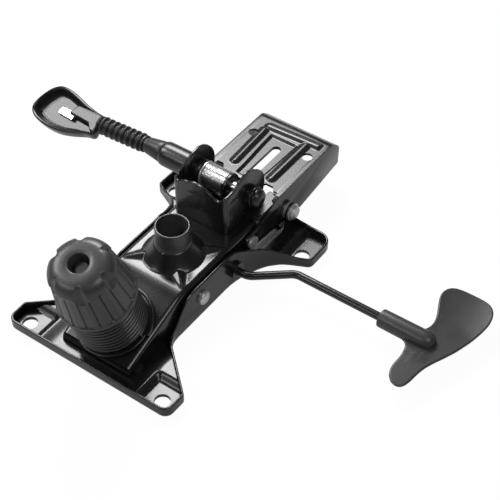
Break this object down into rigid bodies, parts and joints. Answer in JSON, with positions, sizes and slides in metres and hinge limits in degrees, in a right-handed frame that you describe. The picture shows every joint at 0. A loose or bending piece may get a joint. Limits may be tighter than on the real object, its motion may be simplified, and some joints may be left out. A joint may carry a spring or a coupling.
{
  "type": "office chair tilt mechanism",
  "caption": "Black steel tilt mechanism for an office chair, with a sprung tension knob, gas spring socket, gas lever, tilt lock handle and folding back bracket.",
  "frame": {"origin": "gas spring axis at the seat face of the seat plate", "axes": "+Z away from the seat along the gas spring axis, +X toward the gas lever, +Y toward the back bracket"},
  "size_m": [0.5104, 0.3636, 0.1398],
  "materials": {
    "black_enamel": "gloss",
    "socket_steel": "satin",
    "zinc": "satin",
    "bright_steel": "polished",
    "spring_black": "satin",
    "grey_plastic": "matte",
    "gloss_plastic": "gloss",
    "nylon": "matte",
    "black_rubber": "matte"
  },
  "bodies": {
    "seat": {"seat_plate": "black_enamel", "main_pivot_pins": "zinc", "rear_pivot_pins": "zinc", "pivot_washers": "zinc", "bolt_saddle": "black_enamel", "tension_bolt": "spring_black", "lever_bushes": "gloss_plastic", "stop_pads": "black_rubber"},
    "thrust": {"thrust_washer": "zinc"},
    "knob": {"tension_knob": "grey_plastic", "knob_nut": "zinc"},
    "tilt": {"tilt_body": "black_enamel", "spring_seat": "black_enamel", "gas_socket": "socket_steel", "socket_brace": "black_enamel", "lock_bracket": "black_enamel", "pivot_bushes": "nylon", "link_pins": "zinc", "ear_bush": "gloss_plastic", "lock_collar": "gloss_plastic", "tension_spring": "spring_black"},
    "lock": {"lock_shaft": "bright_steel", "lock_cam": "gloss_plastic", "lock_washer": "zinc", "lock_spring": "bright_steel", "spring_retainer": "gloss_plastic", "shaft_cap": "gloss_plastic", "lock_sleeve": "black_rubber", "lock_bellows": "black_rubber", "lock_tongue": "bright_steel", "lock_handle": "gloss_plastic"},
    "lever": {"lever_rod": "black_enamel", "lever_finger": "zinc", "lever_paddle": "grey_plastic", "lever_retainer": "zinc"},
    "back": {"back_bracket": "black_enamel", "bracket_bushes": "nylon"}
  },
  "joints": [
    {"name": "tilt", "type": "hinge", "parent": "seat", "child": "tilt", "pos_m": [0, -0.0145, 0.0247], "axis": [-1, 0, 0], "range_deg": [0, 7], "stiffness_Nm_per_rad": 60, "deforming": ["tension_spring"]},
    {"name": "back_fold", "type": "hinge", "parent": "seat", "child": "back", "pos_m": [0, 0.1245, 0.027], "axis": [1, 0, 0], "range_deg": [0, 9.3]},
    {"name": "tension_travel", "type": "slide", "parent": "seat", "child": "thrust", "axis": [0, 0.3007, -0.9537], "range_m": [-0.0035, 0.00525], "deforming": ["tension_spring"]},
    {"name": "tension_turn", "type": "hinge", "parent": "thrust", "child": "knob", "pos_m": [0, -0.11559, 0.11453], "axis": [0, 0.3007, -0.9537], "range_deg": [-721, 1081]},
    {"name": "lock_turn", "type": "hinge", "parent": "tilt", "child": "lock", "pos_m": [0, 0.083, 0.07], "axis": [1, 0, 0], "range_deg": [0, 60]},
    {"name": "gas_lever", "type": "hinge", "parent": "seat", "child": "lever", "pos_m": [0, 0.0345, 0.02], "axis": [-1, 0, 0], "range_deg": [0, 7], "stiffness_Nm_per_rad": 4}
  ],
  "couplings": [
    {"joint": "back_fold", "follows": "tilt", "ratio": 1.3167},
    {"joint": "tension_turn", "follows": "tension_travel", "rad_per_m": 3590.4}
  ]
}
